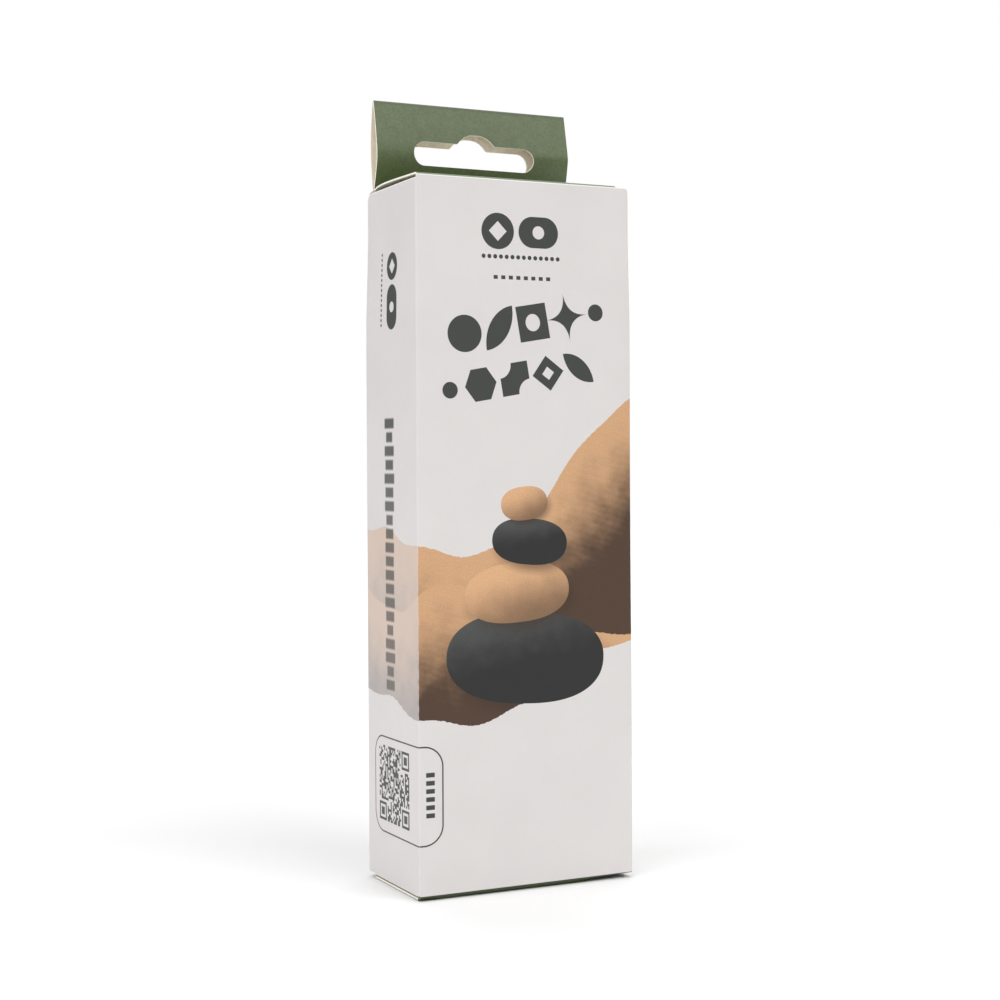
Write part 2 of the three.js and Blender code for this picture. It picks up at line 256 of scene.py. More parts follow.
class Shader:
    """A material's node tree, with short ways to add nodes."""

    def __init__(self, name):
        self.material = bpy.data.materials.new(name)
        self.material.use_nodes = True
        self.tree = self.material.node_tree
        self.tree.nodes.clear()
        self.output = self.node("ShaderNodeOutputMaterial")
        self.surface = self.node("ShaderNodeBsdfPrincipled")
        self.join(self.surface.outputs[0], self.output.inputs["Surface"])
        coordinates = self.node("ShaderNodeTexCoord")
        self.place = coordinates.outputs["Object"]
        self.uv = self.node("ShaderNodeUVMap", uv_map=UV_NAME).outputs["UV"]

    def node(self, kind, **settings):
        node = self.tree.nodes.new(kind)
        for key, value in settings.items():
            setattr(node, key, value)
        return node

    def join(self, output, socket):
        self.tree.links.new(output, socket)

    def feed(self, socket, value):
        if isinstance(value, bpy.types.NodeSocket):
            self.join(value, socket)
        else:
            socket.default_value = value

    def math(self, operation, a, b=0.0, c=0.0):
        node = self.node("ShaderNodeMath", operation=operation)
        for socket, value in zip(node.inputs, (a, b, c)):
            self.feed(socket, value)
        return node.outputs[0]

    def plus(self, a, b):
        return self.math("ADD", a, b)

    def minus(self, a, b):
        return self.math("SUBTRACT", a, b)

    def times(self, a, b):
        return self.math("MULTIPLY", a, b)

    def larger(self, a, b):
        return self.math("MAXIMUM", a, b)

    def unsigned(self, a):
        return self.math("ABSOLUTE", a)

    def below(self, a, b):
        return self.math("LESS_THAN", a, b)

    def above(self, a, b):
        return self.math("GREATER_THAN", a, b)

    def between(self, value, low, high):
        return self.times(self.above(value, low), self.below(value, high))

    def vector(self, operation, a, b=(0.0, 0.0, 0.0)):
        node = self.node("ShaderNodeVectorMath", operation=operation)
        self.feed(node.inputs[0], a)
        self.feed(node.inputs[1], b)
        return node.outputs["Value" if operation == "LENGTH" else "Vector"]

    def split(self, vector):
        node = self.node("ShaderNodeSeparateXYZ")
        self.join(vector, node.inputs[0])
        return node.outputs[0], node.outputs[1], node.outputs[2]

    def combine(self, x, y, z=0.0):
        node = self.node("ShaderNodeCombineXYZ")
        for socket, value in zip(node.inputs, (x, y, z)):
            self.feed(socket, value)
        return node.outputs[0]

    def mix(self, factor, a, b, blend="MIX"):
        node = self.node("ShaderNodeMix", data_type="RGBA", blend_type=blend)
        self.feed(node.inputs["Factor"], factor)
        colours = [socket for socket in node.inputs if socket.type == "RGBA"]
        for socket, value in zip(colours, (a, b)):
            if not isinstance(value, bpy.types.NodeSocket):
                value = (*value, 1.0)
            self.feed(socket, value)
        return next(socket for socket in node.outputs if socket.type == "RGBA")

    def span(self, value, low, high, to_low=0.0, to_high=1.0, soft=False):
        """Maps low..high to to_low..to_high, held at the ends."""
        node = self.node("ShaderNodeMapRange", interpolation_type="SMOOTHSTEP" if soft else "LINEAR")
        ends = {"From Min": low, "From Max": high, "To Min": to_low, "To Max": to_high}
        for key, number in {"Value": value, **ends}.items():
            self.feed(node.inputs[key], number)
        return node.outputs["Result"]

    def noise(self, scale, detail=3.0, roughness=0.55, at=None, stretch=(1.0, 1.0, 1.0)):
        where = self.vector("MULTIPLY", at or self.place, tuple(scale * s for s in stretch))
        node = self.node("ShaderNodeTexNoise")
        node.inputs["Scale"].default_value = 1.0
        node.inputs["Detail"].default_value = detail
        node.inputs["Roughness"].default_value = roughness
        self.join(where, node.inputs["Vector"])
        return node.outputs["Fac"]

    def toned(self, tint, level):
        """A colour made lighter or darker; a level of 1 leaves it as it is."""
        return self.mix(1.0, tint, self.combine(level, level, level), blend="MULTIPLY")

    def bump(self, height, distance):
        node = self.node("ShaderNodeBump")
        node.inputs["Distance"].default_value = distance
        node.inputs["Strength"].default_value = 1.0
        self.join(height, node.inputs["Height"])
        self.join(node.outputs[0], self.surface.inputs["Normal"])

    def finish(self, base, roughness, specular):
        self.feed(self.surface.inputs["Base Color"], base)
        self.feed(self.surface.inputs["Roughness"], roughness)
        self.surface.inputs["Specular IOR Level"].default_value = specular
        return self.material


def mark(shader, flat, centre, size, angle=0.0):
    """The place of each point in a mark's own frame, from -1 to 1 across the mark."""
    node = shader.node("ShaderNodeMapping", vector_type="TEXTURE")
    node.inputs["Location"].default_value = (centre[0], centre[1], 0.0)
    node.inputs["Rotation"].default_value = (0.0, 0.0, math.radians(angle))
    node.inputs["Scale"].default_value = (size[0] / 2, size[1] / 2, 1.0)
    shader.join(flat, node.inputs["Vector"])
    return node.outputs[0]


def disc(shader, own, radius=1.0):
    return shader.below(shader.vector("LENGTH", own), radius)


def block(shader, own):
    x, y, _ = shader.split(shader.vector("ABSOLUTE", own))
    return shader.below(shader.larger(x, y), 1.0)


def diamond(shader, own, size=1.0):
    x, y, _ = shader.split(shader.vector("ABSOLUTE", own))
    return shader.below(shader.plus(x, y), size)


def shifted(shader, own, x, y):
    return shader.vector("ADD", own, (x, y, 0.0))


def petal(shader, own):
    """A pointed leaf from corner to corner: where two discs overlap."""
    left = disc(shader, shifted(shader, own, 1.0, -1.0), 2.0)
    right = disc(shader, shifted(shader, own, -1.0, 1.0), 2.0)
    return shader.times(shader.times(left, right), block(shader, own))


def star(shader, own):
    """A four-pointed star with hollow sides."""
    x, y, _ = shader.split(shader.vector("ABSOLUTE", own))
    roots = shader.plus(shader.math("SQRT", x), shader.math("SQRT", y))
    return shader.below(roots, 1.12)


def hexagon(shader, own):
    x, y, _ = shader.split(shader.vector("ABSOLUTE", own))
    lean = shader.math("MULTIPLY_ADD", y, 0.5, x)
    return shader.below(shader.larger(lean, y), 1.0)


def pinwheel(shader, own):
    """A block with two of its quarters left open by discs."""
    one = disc(shader, shifted(shader, own, 1.0, -1.0), 0.85)
    other = disc(shader, shifted(shader, own, -1.0, 1.0), 0.85)
    return without(shader, without(shader, block(shader, own), one), other)


def holed_block(shader, own):
    return without(shader, block(shader, own), disc(shader, own, 0.48))


def holed_diamond(shader, own):
    return without(shader, diamond(shader, own), diamond(shader, own, 0.38))


def capsule(shader, own, proportion):
    """A block with round ends; proportion is its length over its height."""
    x, y, _ = shader.split(shader.vector("ABSOLUTE", own))
    past = shader.larger(shader.math("MULTIPLY_ADD", x, proportion, 1.0 - proportion), 0.0)
    return disc(shader, shader.combine(past, y))


def without(shader, shape, cut):
    return shader.times(shape, shader.minus(1.0, cut))


def joined(shader, masks):
    total = masks[0]
    for mask in masks[1:]:
        total = shader.larger(total, mask)
    return total


def repeated(shader, value, pitch, start):
    """Distance from the middle of the nearest of many marks that are a pitch apart."""
    turned = shader.math("DIVIDE", shader.minus(value, start), pitch)
    return shader.times(shader.minus(shader.math("FRACT", turned), 0.5), pitch)


# Print: places and lengths in millimetres, from the front left crease and from the table

EMBLEM = {
    "disc": (22.3, 164.8), "disc_size": 9.0, "capsule": (33.7, 164.9), "capsule_size": (11.2, 7.8),
}
DOT_LINE = {"middle": (28.7, 158.5), "length": 22.4, "pitch": 1.6, "radius": 0.55}
DASH_LINE = {"middle": (28.9, 153.4), "length": 16.8, "pitch": 2.1, "size": (1.15, 0.95)}
TITLE_TILT = 9.6  # degrees
TITLE = (  # shape, centre across and up, width and height
    (disc, (12.9, 139.2), (9.2, 9.2)),
    (petal, (22.4, 140.8), (8.8, 10.0)),
    (holed_block, (31.7, 142.4), (8.4, 9.0)),
    (star, (41.3, 144.0), (9.9, 10.4)),
    (hexagon, (17.2, 126.7), (8.7, 8.0)),
    (pinwheel, (26.6, 128.3), (8.0, 8.0)),
    (holed_diamond, (35.9, 129.8), (8.9, 8.9)),
    (petal, (44.6, 131.3), (-7.6, 8.3)),
    (disc, (49.7, 145.4), (4.3, 4.3)),
    (disc, (8.9, 125.2), (4.1, 4.1)),
)
SIDE_EMBLEM = {
    "disc": (-15.3, 156.7), "disc_size": 6.9, "capsule": (-15.3, 146.5), "capsule_size": (6.4, 11.3),
}
SIDE_DOTS = {"middle": (-22.2, 151.2), "length": 19.05, "pitch": 1.27, "radius": 0.42}
SIDE_MARKS = {"middle": (-17.0, 84.4), "length": 69.4, "pitch": 3.47, "size": (6.2, 2.35)}
SOFT_EDGE = (-0.25, 0.45)  # from full ink to none, across a side mark's edge
FRAME_LINE = {"low": (-27.7, 13.6), "high": (6.4, 37.9), "radius": 5.0, "line": 0.38}
CODE = {
    "low": (-25.0, 16.5), "size": 19.2, "modules": 29, "finder": 7,
    "draw": (417.0, 93.0), "dark": 0.52,
}
COLUMN_MARKS = {"middle": (3.1, 26.0), "length": 12.0, "pitch": 2.0, "size": (2.3, 1.15)}
INK_COVER = 0.97
WEAR_COVER = 0.55  # how far the board shows where a crease is worn
WORN_WIDTH = 0.42  # how far from a crease its ink is worn
EDGE_HIGHLIGHT_HEIGHT = 0.24  # painted highlight: a pale line along the upper cut edges, where they catch the light
EDGE_HIGHLIGHT_COLOUR = (0.86, 0.85, 0.82)
WRAP = 0.6  # how far the green print of the bottom crease, darkened as painted shade, wraps the upright ones
LID_CREASE_HIGHLIGHT = (29.9, 34.0)  # painted highlight on the lids' front creases: where it lies up the flat lid
LID_CREASE_HIGHLIGHT_COLOUR = (0.23, 0.28, 0.19)
FOLD_SHADE = 0.3  # the painted shade line lies this far before the end of the tab's top fold
PICTURE = {"left": -33.6, "right": 60.6}
DUNE_RISE = (18.0, 66.0)  # where the dunes change from their left height to their right one
DUNES = (  # lower edge, far and near dune: height at left and right, waves of the crest
    (46.0, 59.9, ((3.0, 0.08, -2.6), (0.7, 0.31, 0.0))),
    (88.0, 122.4, ((3.0, 0.08, -2.6), (0.8, 0.31, 1.0))),
    (74.0, 60.0, ((3.6, 0.12, 0.2), (0.8, 0.29, 0.4))),
)
DUNE_DEPTHS = (36.0, 30.0)  # from a dune's crest to its full shade, far and near
RIPPLE = {"pace": 3.6, "bend": 9.0, "strength": 0.013}  # radians per mm, radians, share of tone
STONE_SHADOW = (-0.10, 0.30)  # in half widths and half heights of the stone
STONES = (  # middle, size, tilt, dark or sand
    ((29.5, 58.5), (44.0, 23.0), -3.0, True),
    ((27.0, 75.0), (29.0, 15.0), 4.0, False),
    ((30.5, 87.6), (21.0, 11.6), -5.0, True),
    ((29.0, 97.2), (13.0, 8.4), 6.0, False),
)


def print_marks(shader, flat):
    """The ink mask of every line mark on the walls."""
    u, v, _ = shader.split(flat)
    masks = []
    for emblem, along_v in ((EMBLEM, False), (SIDE_EMBLEM, True)):
        size = emblem["disc_size"]
        own = mark(shader, flat, emblem["disc"], (size, size))
        masks.append(without(shader, disc(shader, own), diamond(shader, own, 0.55)))
        wide, high = emblem["capsule_size"]
        own = mark(shader, flat, emblem["capsule"], (wide, high))
        if along_v:
            x, y, _ = shader.split(own)
            own = shader.combine(y, x)
            wide, high = high, wide
        body = capsule(shader, own, wide / high)
        x, y, _ = shader.split(own)
        eye = disc(shader, shader.combine(shader.times(x, wide / high), y), 0.42)
        masks.append(without(shader, body, eye))
    for shape, centre, size in TITLE:
        masks.append(shape(shader, mark(shader, flat, centre, size, TITLE_TILT)))
    masks.append(mark_row(shader, u, v, DOT_LINE, round_marks=True))
    masks.append(mark_row(shader, u, v, DASH_LINE))
    masks.append(mark_row(shader, v, u, SIDE_DOTS, round_marks=True, turned=True))
    masks.append(mark_row(shader, v, u, COLUMN_MARKS, turned=True))
    masks.append(frame_line(shader, flat))
    masks.append(square_code(shader, flat))
    return joined(shader, masks)


def mark_row(shader, along, across, row, round_marks=False, turned=False):
    """A row of equal marks, dots or dashes. turned rows run up the carton."""
    middle = row["middle"][::-1] if turned else row["middle"]
    near = repeated(shader, along, row["pitch"], middle[0] - row["length"] / 2)
    aside = shader.minus(across, middle[1])
    reach = shader.unsigned(shader.minus(along, middle[0]))
    inside = shader.below(reach, row["length"] / 2)
    if round_marks:
        shape = disc(shader, shader.combine(near, aside), row["radius"])
    else:
        wide, high = row["size"][::-1] if turned else row["size"]
        x = shader.below(shader.unsigned(near), wide / 2)
        y = shader.below(shader.unsigned(aside), high / 2)
        shape = shader.times(x, y)
    return shader.times(shape, inside)


def frame_line(shader, flat):
    """The thin rounded frame that wraps the front left crease."""
    low, high, radius = FRAME_LINE["low"], FRAME_LINE["high"], FRAME_LINE["radius"]
    middle = ((low[0] + high[0]) / 2, (low[1] + high[1]) / 2, 0.0)
    half = ((high[0] - low[0]) / 2 - radius, (high[1] - low[1]) / 2 - radius, 0.0)
    away = shader.vector("ABSOLUTE", shader.vector("SUBTRACT", flat, middle))
    past = shader.vector("MAXIMUM", shader.vector("SUBTRACT", away, half))
    off = shader.minus(shader.vector("LENGTH", past), radius)
    return shader.below(shader.unsigned(off), FRAME_LINE["line"] / 2)


def square_code(shader, flat):
    """A made-up square pattern of random modules with three nested squares in its corners."""
    count, finder = CODE["modules"], CODE["finder"]
    module = CODE["size"] / count
    own = shader.vector("SUBTRACT", flat, (*CODE["low"], 0.0))
    cells = shader.vector("MULTIPLY", own, (1 / module, 1 / module, 0.0))
    x, y, _ = shader.split(cells)
    reach = shader.vector("ABSOLUTE", shader.vector("SUBTRACT", cells, (count / 2, count / 2, 0.0)))
    across, up, _ = shader.split(reach)
    inside = shader.below(shader.larger(across, up), count / 2)
    chance = shader.node("ShaderNodeTexWhiteNoise", noise_dimensions="2D")
    cell = shader.vector("FLOOR", shifted(shader, cells, *CODE["draw"]))
    shader.join(cell, chance.inputs["Vector"])
    dark = shader.below(chance.outputs["Value"], CODE["dark"])
    clear, squares = [], []
    near, far = finder / 2, count - finder / 2
    for cx, cy in ((near, near), (far, near), (far, far)):
        off = shader.larger(
            shader.unsigned(shader.minus(x, cx)), shader.unsigned(shader.minus(y, cy)),
        )
        clear.append(shader.below(off, finder / 2 + 1))
        border = shader.between(off, finder / 2 - 1, finder / 2)
        squares.append(shader.larger(border, shader.below(off, finder / 2 - 2)))
    modules = without(shader, dark, joined(shader, clear))
    return shader.times(joined(shader, [modules, *squares]), inside)


def crest(shader, u, base, waves):
    """Height of a dune's crest along the wall; waves lists (height, radians per mm, shift)."""
    height = base
    for rise, pace, shift in waves:
        swing = shader.math("SINE", shader.math("MULTIPLY_ADD", u, pace, shift))
        height = shader.math("MULTIPLY_ADD", swing, rise, height)
    return height


def dune_tone(shader, v, top, depth, clouds, ripple):
    """How far a dune is in shade, from 0 at its crest to 1 at its foot."""
    drop = shader.math("DIVIDE", shader.minus(top, v), depth)
    tone = shader.plus(drop, shader.math("MULTIPLY_ADD", clouds, 0.55, -0.28))
    tone = shader.math("MULTIPLY_ADD", ripple, RIPPLE["strength"], tone)
    return shader.span(tone, 0.05, 0.95, soft=True)


def stone_face(shader, own, clouds, colours, dark):
    """The colour of a stone, lit from above on the left."""
    x, y, _ = shader.split(own)
    light = shader.plus(shader.times(x, -0.30), shader.times(y, 0.62))
    light = shader.math("MULTIPLY_ADD", clouds, 0.5, light)
    if dark:
        high = tuple(part * 3.2 + 0.022 for part in colours.stone)
        return shader.mix(shader.span(light, 0.15, 1.0, soft=True), colours.stone, high)
    low = blended(colours.shade, colours.sand, 0.28)
    high = tuple(min(1.0, part) for part in scaled(colours.sand, 1.12))
    return shader.mix(shader.span(light, -0.45, 0.85, soft=True), low, high)


def picture(shader, flat, colours):
    """Sand dunes with a pile of round stones: returns its colour and its mask."""
    u, v, _ = shader.split(flat)
    grain = shader.noise(3.2, 2.0, 0.7, at=flat)
    clouds = shader.noise(0.16, 3.0, 0.5, at=flat)
    bend = shader.times(shader.noise(0.10, 2.0, 0.5, at=flat), RIPPLE["bend"])
    phase = shader.plus(shader.times(v, RIPPLE["pace"]), shader.plus(bend, u))
    ripple = shader.math("SINE", phase)
    ragged = shader.math("MULTIPLY_ADD", shader.noise(0.9, 2.0, 0.6, at=flat), 0.9, -0.45)
    height = shader.plus(v, ragged)
    sand_edges = []
    for left, right, waves in DUNES:
        base = shader.span(u, *DUNE_RISE, left, right, soft=True)
        sand_edges.append(crest(shader, u, base, waves))
    floor, far, near = sand_edges
    inside = shader.between(height, floor, far)
    middle_tone = blended(colours.sand, colours.shade, 0.5)
    dunes = []
    for top, depth in zip((far, near), DUNE_DEPTHS):
        tone = dune_tone(shader, v, top, depth, clouds, ripple)
        light = shader.mix(shader.span(tone, 0.0, 0.55), colours.sand, middle_tone)
        dunes.append(shader.mix(shader.span(tone, 0.55, 1.0), light, colours.shade))
    art = shader.mix(shader.below(height, near), *dunes)
    for middle, size, tilt, dark in STONES:
        own = mark(shader, flat, middle, size, tilt)
        off_shadow = shader.vector("LENGTH", shifted(shader, own, *STONE_SHADOW))
        cast = shader.times(shader.span(off_shadow, 0.7, 1.25, 0.62, 0.0, soft=True), inside)
        art = shader.mix(cast, art, scaled(colours.shade, 0.5))
        x, y, _ = shader.split(shader.vector("ABSOLUTE", own))
        outline = shader.plus(shader.math("POWER", x, 2.5), shader.math("POWER", y, 2.2))
        on_stone = shader.below(outline, 1.0)
        inside = shader.larger(inside, on_stone)
        art = shader.mix(on_stone, art, stone_face(shader, own, clouds, colours, dark))
    art = shader.toned(art, shader.span(grain, 0.25, 0.75, 0.82, 1.16))
    return art, shader.times(inside, shader.between(u, PICTURE["left"], PICTURE["right"]))


def scaled(tint, level):
    return tuple(level * part for part in tint)


def blended(tint, other, level):
    return tuple((1 - level) * a + level * b for a, b in zip(tint, other))


def mottled(shader, tint, *layers):
    """A colour with layers of mottling: each is a noise and how much darker and lighter it goes."""
    level = 1.0
    for noise, darker, lighter in layers:
        level = shader.plus(shader.span(noise, 0.3, 0.7, darker, lighter), level)
    return shader.toned(tint, level)


COATED_TOOTH = 0.010 * MM
BARE_TOOTH = 0.03 * MM


def paper_bump(shader, depth):
    """Fine tooth of the board and a slow waviness."""
    tooth = shader.noise(1900.0, 3.0, 0.6)
    wave = shader.noise(70.0, 2.0, 0.5)
    shader.bump(shader.math("MULTIPLY_ADD", wave, 6.0, tooth), depth)


SPECK_CELLS = 120.0  # cells to a metre
SPECK_SIZE = 0.032  # radius, as a share of a cell


def specks(shader, base, tint, rarity):
    """A few tiny specks of dust or stray ink; rarity is the share of cells without one."""
    cells = shader.node("ShaderNodeTexVoronoi")
    cells.inputs["Scale"].default_value = SPECK_CELLS
    shader.join(shader.place, cells.inputs["Vector"])
    close = shader.below(cells.outputs["Distance"], SPECK_SIZE)
    chosen = shader.above(shader.split(cells.outputs["Color"])[0], rarity)
    return shader.mix(shader.times(close, chosen), base, tint)


def crease_wear(shader, u, creases):
    """Broken, worn ink along the upright creases."""
    bands = []
    for place in creases:
        off = shader.unsigned(shader.minus(u, place))
        bands.append(shader.span(off, 0.0, WORN_WIDTH, 1.0, 0.0))
    ragged = shader.times(shader.noise(1400.0, 3.0, 0.7, stretch=(1.0, 1.0, 0.35)), 1.5)
    return shader.span(shader.times(joined(shader, bands), ragged), 0.55, 0.75)


def printed_board(colours):
    """The coated outside of the walls with all their print and wear."""
    shader = Shader("Printed board")
    sizes = bpy.context.scene.carton_sizes
    width = sizes.width / MM
    from_crease = shader.vector("SUBTRACT", shader.uv, (UV_SHIFT, 0.0, 0.0))
    flat = shader.vector("MULTIPLY", from_crease, (UV_SCALE / MM, UV_SCALE / MM, 0.0))
    u, v, _ = shader.split(flat)
    clouds, fine = shader.noise(60.0, 3.0, 0.5), shader.noise(2600.0, 2.0, 0.6)
    ground = mottled(shader, colours.board, (clouds, -0.02, 0.02), (fine, -0.012, 0.012))
    art, art_mask = picture(shader, flat, colours)
    veil = shader.times(shader.below(u, 0.0), colours.side_veil)
    print_and_painted_light = shader.mix(art_mask, ground, shader.mix(veil, art, ground))
    print_and_painted_light = shader.mix(soft_marks(shader, u, v), print_and_painted_light, scaled(colours.ink, 1.2))
    ink = print_marks(shader, flat)
    print_and_painted_light = shader.mix(shader.times(ink, INK_COVER), print_and_painted_light, colours.ink)
    # The bottom roll carries the green print, darkened to under half the lids' green as painted shade
    roll_end = shader.math("MULTIPLY_ADD", u, ROLL_RISE / MM / width, ROLL_START / MM)
    roll = shader.times(shader.below(v, roll_end), shader.between(u, -WRAP, width + WRAP))
    print_and_painted_light = shader.mix(roll, print_and_painted_light, scaled(colours.green, 0.45))
    worn = crease_wear(shader, u, [entry[0] / MM for entry in sleeve_path(sizes)])
    print_and_painted_light = shader.mix(shader.times(worn, WEAR_COVER), print_and_painted_light, colours.board)
    print_and_painted_light = specks(shader, print_and_painted_light, (0.30, 0.28, 0.26), 0.985)
    # Painted highlight: a pale band along the front and left walls' upper edges stands in for the light
    # they catch
    rise = (sizes.front_height - sizes.side_high) / MM
    side_highlight = sizes.side_high / MM - EDGE_HIGHLIGHT_HEIGHT
    edge_highlight = shader.math("MULTIPLY_ADD", shader.between(u, 0.0, width), rise, side_highlight)
    edge_highlight = shader.times(shader.above(v, edge_highlight), shader.above(u, -sizes.depth / MM))
    print_and_painted_light = shader.mix(edge_highlight, print_and_painted_light, EDGE_HIGHLIGHT_COLOUR)
    paper_bump(shader, COATED_TOOTH)
    rough = shader.span(shader.noise(300.0), 0.3, 0.7, 0.46, 0.54)
    return shader.finish(print_and_painted_light, shader.math("MULTIPLY_ADD", ink, -0.06, rough), 0.42)


def soft_marks(shader, u, v):
    """The column of marks on the left wall, with soft edges and uneven widths."""
    middle_u, middle_v = SIDE_MARKS["middle"]
    wide, high = SIDE_MARKS["size"]
    span, pitch = SIDE_MARKS["length"], SIDE_MARKS["pitch"]
    start = middle_v - span / 2
    near = shader.unsigned(repeated(shader, v, pitch, start))
    aside = shader.unsigned(shader.minus(u, middle_u))
    number = shader.math("FLOOR", shader.math("DIVIDE", shader.minus(v, start), pitch))
    chance = shader.node("ShaderNodeTexWhiteNoise", noise_dimensions="1D")
    shader.join(number, chance.inputs["W"])
    narrow = shader.span(chance.outputs["Value"], 0.0, 1.0, 0.6, 1.0)
    reach = shader.times(narrow, wide / 2)
    across = shader.span(shader.minus(aside, reach), *SOFT_EDGE, 1.0, 0.0, soft=True)
    up = shader.span(shader.minus(near, high / 2), *SOFT_EDGE, 1.0, 0.0, soft=True)
    inside = shader.below(shader.unsigned(shader.minus(v, middle_v)), span / 2)
    strength = shader.span(v, 50.0, 120.0, 0.72, 0.92)
    return shader.times(shader.times(across, up), shader.times(inside, strength))


def green_board(colours):
    """The green print of tab and lids: mottled, with a painted highlight on the lids' creases and a
    painted shade line in the tab's fold.
    """
    shader = Shader("Green board")
    clouds, fine = shader.noise(55.0, 3.0, 0.5), shader.noise(1500.0, 2.0, 0.75)
    base = mottled(shader, colours.green, (clouds, -0.06, 0.06), (fine, -0.22, 0.22))
    along = shader.times(shader.split(shader.uv)[1], UV_SCALE / MM)
    # Painted highlight: a paler green band along the lids' front creases
    crease_highlight = shader.times(shader.between(along, *LID_CREASE_HIGHLIGHT), 0.5)
    base = shader.mix(crease_highlight, base, LID_CREASE_HIGHLIGHT_COLOUR)
    tab = TabFold(bpy.context.scene.carton_sizes)
    # Painted shade: a dark green line across the tab's top fold
    off_fold = shader.unsigned(shader.minus(along, (tab.turn + tab.arc) / MM - FOLD_SHADE))
    painted_fold_shade = shader.span(off_fold, 0.25, 0.6, 0.5, 0.0)
    base = shader.mix(painted_fold_shade, base, scaled(colours.green, 0.3))
    base = specks(shader, base, (0.60, 0.60, 0.52), 0.975)
    paper_bump(shader, COATED_TOOTH)
    rough = shader.span(shader.noise(400.0), 0.3, 0.7, 0.42, 0.50)
    return shader.finish(base, rough, 0.75)


def inside_board(colours):
    """The bare inside, with fibres that run up the carton."""
    shader = Shader("Unprinted board")
    fibres = shader.noise(900.0, 4.0, 0.7, stretch=(1.0, 1.0, 0.25))
    clouds = shader.noise(120.0, 3.0, 0.5)
    base = mottled(shader, colours.inside, (fibres, -0.09, 0.09), (clouds, -0.05, 0.05))
    base = specks(shader, base, (0.22, 0.17, 0.12), 0.93)
    paper_bump(shader, BARE_TOOTH)
    return shader.finish(base, 0.85, 0.2)


# Cut edges at the bottom crease that carry the green ink, darkened as painted shade: those right of x,
# in front of y and below z
PRINTED_AND_SHADED_EDGES = (
    (-0.1, FLOOR_LID_LOW[1] + 0.9 * MM, 1.9 * MM),
    (15 * MM, -9.3 * MM, 1.0 * MM),
)


def cut_edge(colours):
    """Core of the board. The edges that run into the front wall's bottom crease are printed over in
    green, darkened as painted shade.
    """
    shader = Shader("Cut edge")
    layers = shader.noise(5200.0, 2.0, 0.6, stretch=(0.25, 1.0, 1.0))
    base = mottled(shader, colours.edge, (layers, -0.10, 0.05))
    x, y, z = shader.split(shader.place)
    print_and_painted_light = []
    for left, back, top in PRINTED_AND_SHADED_EDGES:
        below = shader.times(shader.below(y, back), shader.below(z, top))
        print_and_painted_light.append(shader.times(shader.above(x, left), below))
    # Green ink on these edges, darkened to 0.6 of the lids' green as painted shade
    base = shader.mix(joined(shader, print_and_painted_light), base, scaled(colours.green, 0.6))
    paper_bump(shader, BARE_TOOTH)
    return shader.finish(base, 0.9, 0.15)


def ready_materials():
    """Makes each finish once and returns them by name."""
    colours = bpy.context.scene.carton_colours
    makers = {
        "Printed board": printed_board, "Green board": green_board,
        "Unprinted board": inside_board, "Cut edge": cut_edge,
    }
    return {
        name: bpy.data.materials.get(name) or maker(colours) for name, maker in makers.items()
    }


# Walls

def sleeve_path(sizes):
    """Corners of the sleeve, each with its place along the board, its corner point and the two
    outward directions that meet there. The board runs from the glue flap round to the right wall."""
    half_w, half_d = sizes.width / 2, sizes.depth / 2
    glue_x = half_w - sizes.board - NODE_GAP
    back, left, front, right = Vector((0, 1)), Vector((-1, 0)), Vector((0, -1)), Vector((1, 0))
    return (
        (-sizes.depth - half_w - glue_x, Vector((glue_x, half_d)), right, back),
        (-sizes.depth, Vector((-half_w, half_d)), back, left),
        (0.0, Vector((-half_w, -half_d)), left, front),
        (sizes.width, Vector((half_w, -half_d)), front, right),
    )


ROLL_START = 1.25 * MM  # height where the front wall starts to turn in, at its left end
ROLL_RISE = 0.2 * MM  # how much higher that is at its right end


def rolled(sizes, u, v):
    """How far a place on the board turns in at the front wall's bottom crease, and its height."""
    slack = 0.03 * MM
    if u < -slack or u > sizes.width + slack:
        return 0.0, v
    t = min(1.0, max(0.0, u / sizes.width))
    start = ROLL_START + ROLL_RISE * t
    if v >= start:
        return 0.0, v
    # The roll is full in the middle, and tighter near the left end and along the right third
    at_left = 0.35 + 0.65 * min(1.0, t / 0.1)
    at_right = 0.12 + 0.88 * min(1.0, (1 - t) / 0.35)
    radius = sizes.roll * min(at_left, at_right)
    turn = math.radians(90) * (1 - v / start)
    return radius * (1 - math.cos(turn)), start - radius * math.sin(turn)


def sleeve_point(sizes, corners, u, v):
    """Where the folded sleeve holds a point of the flat board."""
    radius = sizes.crease
    inward, z = rolled(sizes, u, v)
    for place, corner, before, after in corners:
        if abs(u - place) <= radius:
            turn = math.radians(45) * (1 + (u - place) / radius)
            out = math.cos(turn) * before + math.sin(turn) * after
            point = corner - radius * (before + after) + (radius - inward) * out
            return Vector((*point, z)) + lean(sizes, u, v)
    passed = [entry for entry in corners if entry[0] < u]
    if passed:
        place, corner, before, out = passed[-1]
        point = corner - (u - place) * before
    else:
        place, corner, out, after = corners[0]
        point = corner + (u - place) * after
    later = [entry[0] for entry in corners if entry[0] > u]
    lift = -inward
    if passed and later:
        start, end = place + radius, later[0] - radius
        wide = (end - start) / sizes.width
        lift += sizes.bulge * wide * arch((u - start) / (end - start)) * arch(v / sizes.height)
    return Vector((*(point + lift * out), z)) + lean(sizes, u, v)


def lean(sizes, u, v):
    """The back left and the right creases lean in a little at the top, and the right one out below."""
    rise = smooth((v / sizes.height - 0.78) / 0.16)
    if u < 0.0:
        near = smooth(1 - abs(u + sizes.depth) / sizes.depth)
        return Vector((sizes.lean * rise * near, 0.0, 0.0))
    spread = 0.25 * MM * smooth((0.6 - v / sizes.height) / 0.4)
    return Vector(((spread - 0.7 * sizes.lean * rise) * min(1.0, u / sizes.width), 0.0, 0.0))


